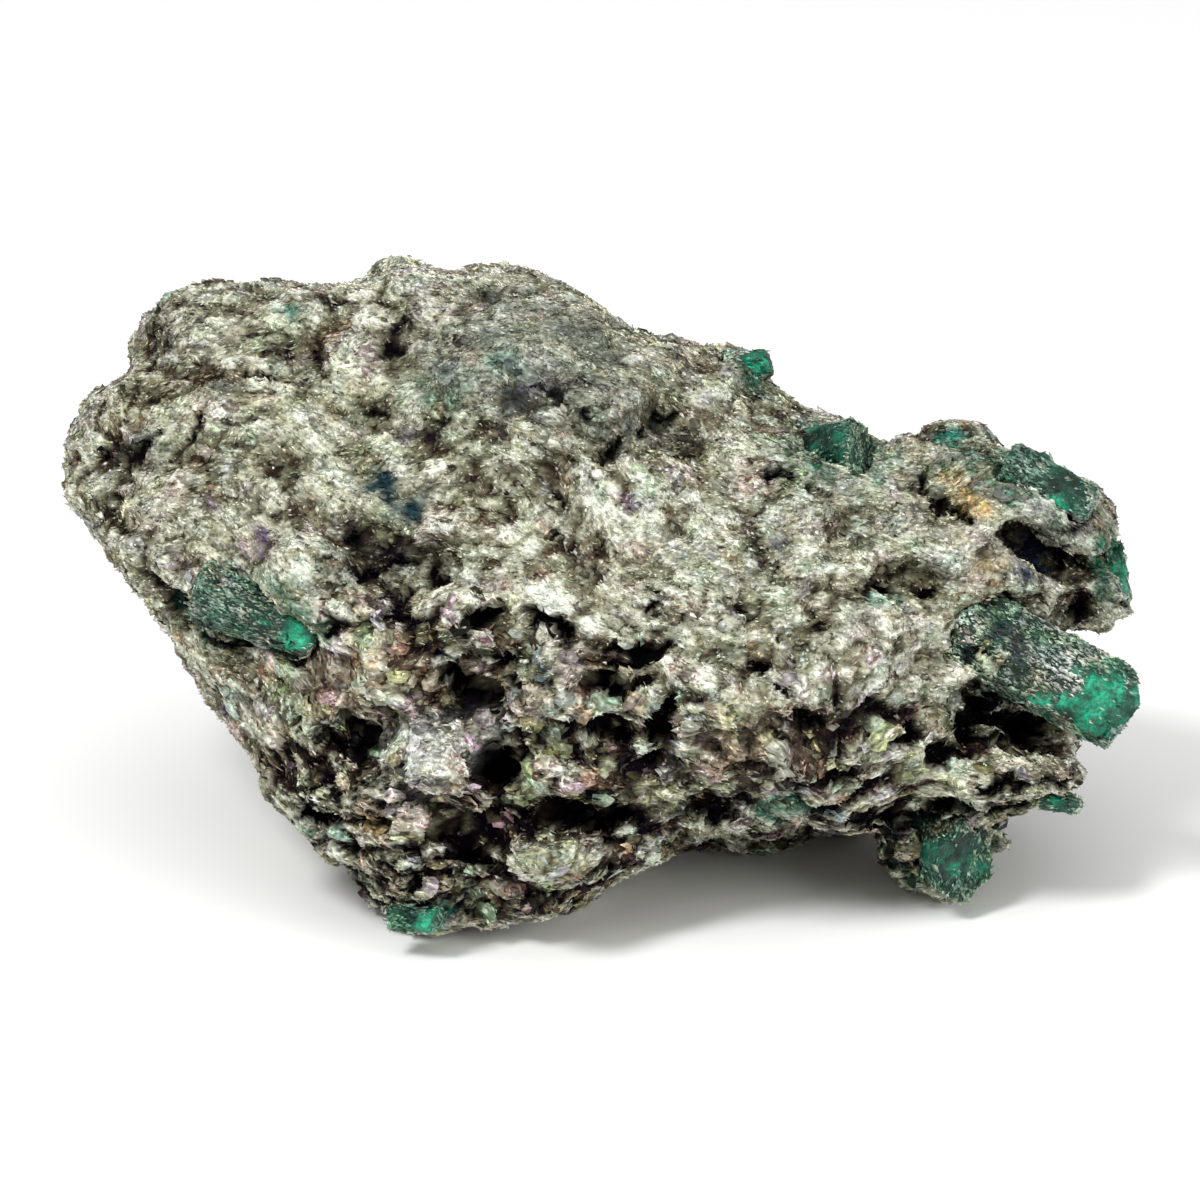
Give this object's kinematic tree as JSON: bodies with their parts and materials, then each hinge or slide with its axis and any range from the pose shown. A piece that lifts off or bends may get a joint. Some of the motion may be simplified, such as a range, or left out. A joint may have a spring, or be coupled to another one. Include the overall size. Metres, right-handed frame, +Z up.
{
  "type": "emerald in matrix specimen",
  "caption": "Rough hand specimen of mica schist with green emerald crystals grown in its surface, resting on a flat break underneath.",
  "frame": {"origin": "middle of the specimen's outer box, at the level of the surface that it rests on", "axes": "+X along the specimen towards its narrow end, -Y out of its display side, +Z up"},
  "size_m": [0.1074, 0.0734, 0.0593],
  "materials": {
    "schist": "silvery grey-olive mica schist of coarse flakes, glinting where they lie flat, near black in its hollows",
    "emerald": "fractured green beryl, glassy and slightly see-through, partly coated with mica"
  },
  "bodies": {
    "root": {"matrix": "schist", "end_emerald": "emerald", "foot_emerald": "emerald", "shoulder_emerald": "emerald", "crest_emerald": "emerald", "lobe_emerald": "emerald", "edge_emerald": "emerald", "side_emerald": "emerald", "ledge_emerald": "emerald", "toe_emerald": "emerald"}
  },
  "joints": []
}
